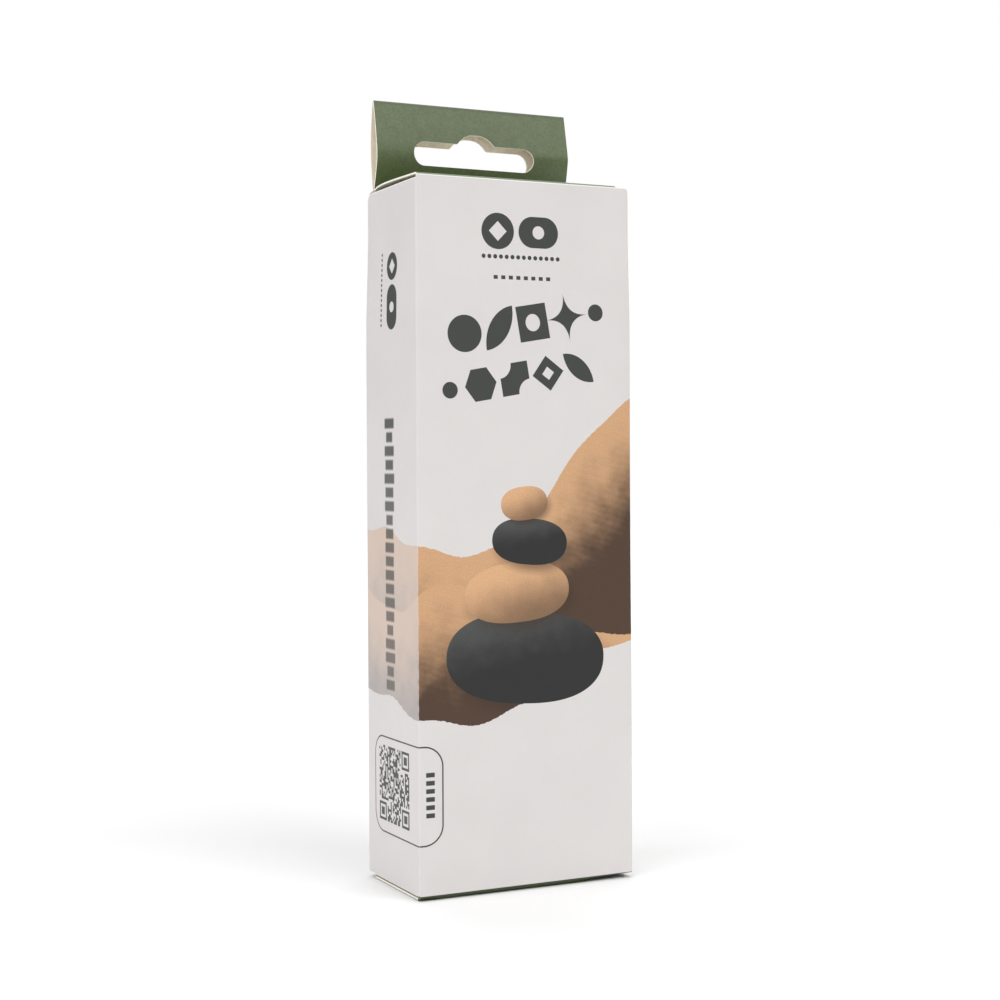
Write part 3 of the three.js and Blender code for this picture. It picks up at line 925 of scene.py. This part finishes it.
class CARTON_OT_walls(bpy.types.Operator):
    """Folds the four walls and the glue flap from one piece of board"""

    bl_idname = "carton.walls"
    bl_label = "Walls"

    def execute(self, context):
        sizes = context.scene.carton_sizes
        corners = sleeve_path(sizes)
        glue, back_left, front_left, front_right = (entry[0] for entry in corners)
        right_end = sizes.width + sizes.depth
        top, side_top, side_low = sizes.height, sizes.side_high, sizes.side_low
        slit = 0.02 * MM
        relief = sizes.relief
        seam = glue - sizes.crease
        flap_end = glue - 11 * MM
        flap_low, flap_high = side_low + 5 * MM, side_top - 5 * MM
        taper = 3 * MM
        outline = [
            (flap_end, flap_low + taper), (seam, flap_low), (seam, 0.0),
            (back_left - 6 * MM, 0.0), (back_left - slit, side_low - 0.1 * MM),
            (back_left + slit, side_low),
            (front_left - slit, side_low), (front_left, 0.0),
            (front_right, 0.0), (front_right + slit, side_low), (right_end, side_low),
            (right_end, side_top), (front_right + slit, side_top), (front_right, side_top - relief),
            (front_right - slit, sizes.front_height), (front_left, sizes.front_height),
            (front_left - slit, side_top), (back_left + slit, side_top),
            (back_left, side_top - relief), (back_left - slit, top),
            (seam, top), (seam, flap_high), (flap_end, flap_high - taper),
        ]
        rounding = (((12, 17), relief), ((14,), 1.6 * MM), ((19,), sizes.tab_inset))
        across = []
        for place in (glue, back_left, front_left, front_right):
            across += steps(place - sizes.crease, place + sizes.crease, 8)
        for low, high, count in (
            (glue, back_left, 16), (back_left, front_left, 8),
            (front_left, front_right, 16), (front_right, right_end, 8),
        ):
            across += steps(low + sizes.crease, high - sizes.crease, count)[1:-1]
        along = steps(0.0, 1.6 * MM, 8)[1:] + steps(3 * MM, top - 6 * MM, 24)
        bm = cut_board(outline, rounding, across=across, along=along)
        fold(bm, lambda u, v: sleeve_point(sizes, corners, u, v))
        turn_faces(bm, 1, -1, judge=lambda middle: middle.y < FRONT_LOW[1] + 1 * MM)
        board_piece(
            "carton_walls", bm, "Printed board", "walls",
            ("front_panel", "back_panel", "left_side_panel", "right_side_panel", "glue_flap"),
        )
        return {"FINISHED"}


# Hang tab

def hook_slot(sizes, hump_shift):
    """Corners and rounding of the hook slot, which has round ends and a low hump on top."""
    half_l, half_h = sizes.slot_length / 2, sizes.slot_height / 2
    foot, crown, rise = 5.4 * MM, 2.9 * MM, 2.7 * MM
    corners = [
        (-half_l, -half_h), (half_l, -half_h), (half_l, half_h), (hump_shift + foot, half_h),
        (hump_shift + crown, half_h + rise), (hump_shift - crown, half_h + rise),
        (hump_shift - foot, half_h), (-half_l, half_h),
    ]
    return corners, (((0, 1, 2, 7), half_h * 0.995), ((4, 5), 2.1 * MM), ((3, 6), 0.2 * MM))


FOOT_FILLET = 0.3 * MM  # hollow crease between the tab's front layer and the top lid


def lid_top(sizes):
    """Outer face of the top lid at its creases, in the middle."""
    return sizes.height + 0.25 * MM


def lid_droop(sizes, aside):
    """How far the lid's root hangs down, by the share of the way out to its side edges."""
    return sizes.lid_droop * min(1.0, abs(aside)) ** 5


def bend_radius(sizes):
    """Outer radius of a fold of 90 or 180 degrees."""
    return sizes.board + 0.15 * MM


class TabFold:
    """Where each height of the flat tab lies once it is folded over."""

    def __init__(self, sizes):
        self.sizes = sizes
        self.foot = sizes.height
        self.radius = bend_radius(sizes)
        self.turn = sizes.tab_top - self.radius
        self.arc = math.pi * self.radius
        self.front_y = sizes.depth / 2 - 2 * self.radius
        self.fillet_end = 2 * self.turn + self.arc - lid_top(sizes) - FOOT_FILLET
        self.end = self.fillet_end + math.pi / 2 * FOOT_FILLET

    def bow(self, share_up, aside):
        """A bow with a kink, 0 at the foot and at the fold. The kink is softer and lower to the left."""
        peak = 0.445 + 0.05 * aside  # the kink's height, as a share of the tab's
        side = peak if share_up < peak else 1 - peak
        off = (share_up - peak) / side
        soft = 0.14 - 0.08 * aside
        full = math.sqrt(1 + soft * soft)
        return (full - math.sqrt(off * off + soft * soft)) / (full - soft)

    def point(self, u, s):
        """Where a point of the flat tab lies, u across and s up the back and down the front."""
        sizes = self.sizes
        half = sizes.width / 2 - sizes.tab_inset
        if s <= self.turn:
            share_up = (s - self.foot) / (self.turn - self.foot)
            return Vector((u, sizes.depth / 2 + sizes.back_bow * arch(share_up), s))
        if s <= self.turn + self.arc:
            angle = (s - self.turn) / self.radius
            y = sizes.depth / 2 - self.radius + self.radius * math.cos(angle)
            return Vector((u, y, self.turn + self.radius * math.sin(angle)))
        angle = max(0.0, s - self.fillet_end) / FOOT_FILLET
        z = self.turn - (min(s, self.fillet_end) - self.turn - self.arc) - FOOT_FILLET * math.sin(angle)
        share_up = max(0.0, (z - self.foot) / (self.turn - self.foot))
        bow = sizes.front_bow * self.bow(share_up, u / half)
        y = self.front_y - bow - FOOT_FILLET * (1 - math.cos(angle))
        z -= lid_droop(sizes, u / half) * (1 - share_up) ** 6
        return Vector((u, y, z))


class CARTON_OT_hang_tab(bpy.types.Operator):
    """Folds the double hang tab with its hook slot"""

    bl_idname = "carton.hang_tab"
    bl_label = "Hang Tab"

    def execute(self, context):
        sizes = context.scene.carton_sizes
        path = TabFold(sizes)
        half = sizes.width / 2 - sizes.tab_inset
        outline = [(-half, path.foot), (half, path.foot), (half, path.end), (-half, path.end)]
        back_drop = 0.8 * MM
        front_slot = path.turn + path.arc + (path.turn - path.foot - sizes.slot_rise)
        back_slot = path.foot + sizes.slot_rise - back_drop
        front_corners, rounding = hook_slot(sizes, 0.5 * MM)
        back_corners, _ = hook_slot(sizes, -0.1 * MM)
        upside_down = [(u, front_slot - v) for u, v in front_corners]
        upright = [(u, back_slot + v) for u, v in back_corners]
        slots = ((upright, rounding), (upside_down, rounding))
        along = steps(path.foot, path.turn, 24)[1:-1]
        along += steps(path.turn, path.turn + path.arc, 10)
        along += steps(path.turn + path.arc, path.fillet_end, 28)[1:]
        along += steps(path.fillet_end, path.end, 4)[1:-1]
        across = steps(-half, half, 16)[1:-1]
        bm = cut_board(outline, (), slots, across=across, along=along)
        fold(bm, path.point)
        turn_faces(bm, 1, 1, judge=lambda middle: middle.y > sizes.depth / 2)
        board_piece(
            "hang_tab", bm, "Green board", "walls",
            ("hang_tab_back_layer", "hang_tab_front_layer"),
        )
        return {"FINISHED"}


# Lids and tuck flaps

UNCUT = (0.0, 0.0)


def lid_board(root_half, free_half, depth, radius, root_right=UNCUT, right=UNCUT, left=UNCUT):
    """A flat lid with a rounded crease at its free end. Its corners are cut (aside, along)."""
    arc = math.pi / 2 * radius
    outline = [
        (-root_half, 0.0), (root_half - root_right[0], 0.0), (root_half, root_right[1]),
        (free_half, depth - right[1]), (free_half - right[0], depth),
        (free_half - right[0], depth + arc), (left[0] - free_half, depth + arc),
        (left[0] - free_half, depth), (-free_half, depth - left[1]),
    ]
    outline = [point for n, point in enumerate(outline) if point != outline[n - 1]]
    along = steps(0.0, depth, 16)[1:] + steps(depth, depth + arc, 6)[1:-1]
    across = steps(-root_half, root_half, 20)[1:-1]
    return cut_board(outline, across=across, along=along)


def top_lid_point(sizes, u, v, root_y, depth, radius):
    """Puts a point of the top lid in place, from its root under the tab to its front crease."""
    share_out = min(v, depth) / depth
    aside = abs(u) / (sizes.width / 2 - sizes.tab_inset)
    lift = sizes.lid_bulge * arch(math.sqrt(share_out))
    droop = lid_droop(sizes, aside) * (1 - 0.4 * share_out)
    angle = max(0.0, v - depth) / radius
    y = root_y - min(v, depth) - radius * math.sin(angle)
    return Vector((u, y, lid_top(sizes) + lift - droop - radius * (1 - math.cos(angle))))


def bottom_lid_point(u, v, root, depth, radius, half, bulge):
    """Puts a point of the bottom lid in place. root is (y, z) of its crease's outer face."""
    share_out = min(v, depth) / depth
    sag = bulge * arch(share_out) ** 0.6 * arch((u / half + 1) / 2) ** 0.6
    angle = max(0.0, v - depth) / radius
    y = root[0] + min(v, depth) + radius * math.sin(angle)
    return Vector((u, y, root[1] - sag + radius * (1 - math.cos(angle))))


def tuck_piece(context, node, body):
    """A tuck flap in the place of its node, tapered and rounded at its free corners."""
    sizes = context.scene.carton_sizes
    low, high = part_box(node)
    at_top = low[2] > sizes.height / 2
    outward = -1 if at_top else 1
    face_y = low[1] if at_top else high[1]
    half = (high[0] - low[0]) / 2
    reach = high[2] - low[2] + NODE_GAP
    free_half, radius = half - 1 * MM, 5 * MM
    outline = [(-half, 0.0), (half, 0.0), (free_half, reach), (-free_half, reach)]
    across, along = steps(-half, half, 12)[1:-1], steps(0.0, reach, 6)[1:-1]
    bm = cut_board(outline, (((2, 3), radius),), across=across, along=along)
    root = high[2] + NODE_GAP if at_top else low[2] - NODE_GAP
    fold(bm, lambda u, v: Vector((u, face_y, root - v if at_top else root + v)))
    turn_faces(bm, 1, outward)
    board_piece(node + "_board", bm, "Green board", body, (node,))


class CARTON_OT_top_lid(bpy.types.Operator):
    """Folds the top lid and its tuck flap"""

    bl_idname = "carton.top_lid"
    bl_label = "Top Lid"

    def execute(self, context):
        sizes = context.scene.carton_sizes
        radius = bend_radius(sizes)
        root_y = sizes.depth / 2 - 2 * radius - FOOT_FILLET
        depth = root_y - LID_LOW[1] - radius
        root_half = sizes.width / 2 - sizes.tab_inset
        free_half = (LID_HIGH[0] - LID_LOW[0]) / 2
        bm = lid_board(root_half, free_half, depth, radius, right=(3.2 * MM, 3 * MM))
        fold(bm, lambda u, v: top_lid_point(sizes, u, v, root_y, depth, radius))
        turn_faces(bm, 2, 1)
        board_piece("top_lid_board", bm, "Green board", "top_lid", ("top_lid",))
        tuck_piece(context, "top_tuck_flap", "top_tuck")
        return {"FINISHED"}


class CARTON_OT_bottom_lid(bpy.types.Operator):
    """Folds the bottom lid and its tuck flap"""

    bl_idname = "carton.bottom_lid"
    bl_label = "Bottom Lid"

    def execute(self, context):
        sizes = context.scene.carton_sizes
        radius = bend_radius(sizes)
        root = (FLOOR_LID_LOW[1] + 0.1 * MM, 0.2 * MM)
        depth = FLOOR_LID_HIGH[1] - radius - root[0]
        half = sizes.width / 2 - 0.35 * MM
        root_cut, free_cut = (13 * MM, 6 * MM), (0.8 * MM, 2.4 * MM)
        bulge = 0.13 * MM
        bm = lid_board(half, half, depth, radius, root_cut, free_cut, free_cut)
        fold(bm, lambda u, v: bottom_lid_point(u, v, root, depth, radius, half, bulge))
        turn_faces(bm, 2, -1)
        board_piece(
            "bottom_lid_board", bm, "Green board", "bottom_lid", ("bottom_lid",),
        )
        tuck_piece(context, "bottom_tuck_flap", "bottom_tuck")
        return {"FINISHED"}


class CARTON_OT_dust_flaps(bpy.types.Operator):
    """Folds the four dust flaps in from the side walls"""

    bl_idname = "carton.dust_flaps"
    bl_label = "Dust Flaps"

    def execute(self, context):
        for end in ("top", "bottom"):
            for side in ("left", "right"):
                dust_flap(context, end, side)
        return {"FINISHED"}


def dust_flap(context, end, side):
    """A dust flap in the place of its node. Its root keeps to the inside of the leaning side wall,
    and from there it springs out to its lid."""
    sizes = context.scene.carton_sizes
    node = f"{end}_{side}_dust_flap"
    low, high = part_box(node)
    at_top, at_left = end == "top", side == "left"
    sign = -1 if at_left else 1
    upward = 1 if at_top else -1
    face_z = (high[2] if at_top else low[2]) + upward * 0.4 * MM
    root, free = (low[0], high[0]) if at_left else (high[0], low[0])
    root += sign * NODE_GAP
    reach = abs(free - root)
    taper, radius, lid_gap, crown = 3 * MM, 4 * MM, 0.2 * MM, 0.85 * sizes.lid_bulge
    softness = (1.4 if at_top else 0.8) * MM
    floor_lid, lid_inset = 0.8 * MM, 1.5 * MM
    outline = [(low[1], 0.0), (high[1], 0.0), (high[1] - taper, reach), (low[1] + taper, reach)]
    across = steps(low[1], high[1], 6)[1:-1]
    along = [reach * (n / 14) ** 1.8 for n in range(1, 14)]
    bm = cut_board(outline, (((2, 3), radius),), across=across, along=along)

    def place(u, v):
        on_sleeve = -(u + sizes.depth / 2) if at_left else sizes.width + u + sizes.depth / 2
        inward = lean(sizes, on_sleeve, face_z).x * (1 - v / reach)
        lid_z = floor_lid
        if at_top:
            share_out = (sizes.depth / 2 - lid_inset - u) / (sizes.depth - 2 * lid_inset)
            rise = crown * arch(math.sqrt(max(0.0, share_out)))
            lid_z = lid_top(sizes) - sizes.board - lid_gap + rise
        spring = (lid_z - face_z) * (1 - math.exp(-v / softness))
        return Vector((root - sign * v + inward, u, face_z + spring))

    fold(bm, place)
    turn_faces(bm, 2, upward)
    board_piece(node + "_board", bm, "Green board", f"{end}_{side}_dust", (node,))


# Studio

CAMERA = {
    "place": (-0.20604, -0.42289, 0.10732), "yaw": -26.030, "pitch": -1.167, "roll": -0.275,
    "focal_pixels": 1819.1, "image": 1000, "sensor": 36.0,
}
# Name, azimuth (0 is from the front, positive from the right), elevation, spread, power, tint;
# angles in degrees
SUNS = (
    ("Key softbox", 26.0, 44.0, 44.0, 1.25, (1.0, 0.997, 0.99)),
    ("Overhead softbox", 0.0, 85.0, 60.0, 0.8, (1.0, 1.0, 1.0)),
    ("Left softbox", -75.0, 35.0, 60.0, 1.3, (0.985, 0.99, 1.0)),
    ("Rear softbox", 160.0, 50.0, 60.0, 0.8, (1.0, 1.0, 1.0)),
)
AMBIENT = 0.35  # strength of the white surroundings' light
FLOOR_RADIUS = 2.5
FLOOR_TONES = (0.84, 0.87)


class CARTON_OT_stage(bpy.types.Operator):
    """Sets the camera, the pale floor and the soft studio light"""

    bl_idname = "carton.stage"
    bl_label = "Studio"

    def execute(self, context):
        scene = context.scene
        scene.view_settings.view_transform = "Standard"
        lens = bpy.data.cameras.new("Camera")
        lens.sensor_width = CAMERA["sensor"]
        lens.lens = CAMERA["focal_pixels"] / CAMERA["image"] * CAMERA["sensor"]
        lens.clip_start = 0.01
        camera = bpy.data.objects.new("Camera", lens)
        camera.location = CAMERA["place"]
        level = math.radians(90 + CAMERA["pitch"])
        turn = Euler((level, 0.0, math.radians(CAMERA["yaw"])), "XYZ").to_matrix()
        roll = Euler((0.0, 0.0, math.radians(CAMERA["roll"])), "XYZ").to_matrix()
        camera.rotation_euler = (turn @ roll).to_euler()
        scene.collection.objects.link(camera)
        scene.camera = camera
        self.floor(scene)
        for name, azimuth, elevation, spread, power, tint in SUNS:
            lamp = bpy.data.lights.new(name, "SUN")
            lamp.angle = math.radians(spread)
            lamp.energy = power
            lamp.color = tint
            light = bpy.data.objects.new(name, lamp)
            light.rotation_euler = (math.radians(90 - elevation), 0.0, math.radians(azimuth))
            scene.collection.objects.link(light)
        world = bpy.data.worlds.new("Studio white")
        world.use_nodes = True
        tree = world.node_tree
        backdrop = tree.nodes["Background"]
        backdrop.inputs["Color"].default_value = (1.0, 1.0, 1.0, 1.0)
        path = tree.nodes.new("ShaderNodeLightPath")
        level = tree.nodes.new("ShaderNodeMapRange")
        level.inputs["To Min"].default_value = AMBIENT
        level.inputs["To Max"].default_value = 1.0
        tree.links.new(path.outputs["Is Camera Ray"], level.inputs["Value"])
        tree.links.new(level.outputs["Result"], backdrop.inputs["Strength"])
        scene.world = world
        return {"FINISHED"}

    def floor(self, scene):
        bm = bmesh.new()
        bmesh.ops.create_circle(bm, cap_ends=True, segments=96, radius=FLOOR_RADIUS)
        mesh = bpy.data.meshes.new("Studio floor")
        bm.to_mesh(mesh)
        bm.free()
        floor = bpy.data.objects.new("Studio floor", mesh)
        scene.collection.objects.link(floor)
        shader = Shader("Studio floor")
        tone = shader.span(shader.noise(3.0), 0.3, 0.7, *FLOOR_TONES)
        mesh.materials.append(shader.finish(shader.combine(tone, tone, tone), 0.7, 0.2))


OPERATORS = (
    CARTON_OT_stage, CARTON_OT_walls, CARTON_OT_hang_tab,
    CARTON_OT_top_lid, CARTON_OT_bottom_lid, CARTON_OT_dust_flaps,
)


class CARTON_PT_sidebar(bpy.types.Panel):
    """Sizes, colours and steps of the carton"""

    bl_idname = "CARTON_PT_sidebar"
    bl_label = "Hanging Carton"
    bl_space_type = "VIEW_3D"
    bl_region_type = "UI"
    bl_category = "Carton"

    def draw(self, context):
        scene = context.scene
        for group in (scene.carton_sizes, scene.carton_colours):
            box = self.layout.box()
            for key in group.bl_rna.properties.keys():
                if key not in ("rna_type", "name"):
                    box.prop(group, key)
        for operator in OPERATORS:
            self.layout.operator(operator.bl_idname)


def register():
    for each in (CartonSizes, CartonColours, *OPERATORS, CARTON_PT_sidebar):
        bpy.utils.register_class(each)
    bpy.types.Scene.carton_sizes = bpy.props.PointerProperty(type=CartonSizes)
    bpy.types.Scene.carton_colours = bpy.props.PointerProperty(type=CartonColours)


def unregister():
    del bpy.types.Scene.carton_colours
    del bpy.types.Scene.carton_sizes
    for each in (CARTON_PT_sidebar, *reversed(OPERATORS), CartonColours, CartonSizes):
        bpy.utils.unregister_class(each)


def main():
    register()
    bpy.ops.carton.stage()
    bpy.ops.carton.walls()
    bpy.ops.carton.hang_tab()
    bpy.ops.carton.top_lid()
    bpy.ops.carton.bottom_lid()
    bpy.ops.carton.dust_flaps()


if __name__ == "__main__":
    main()
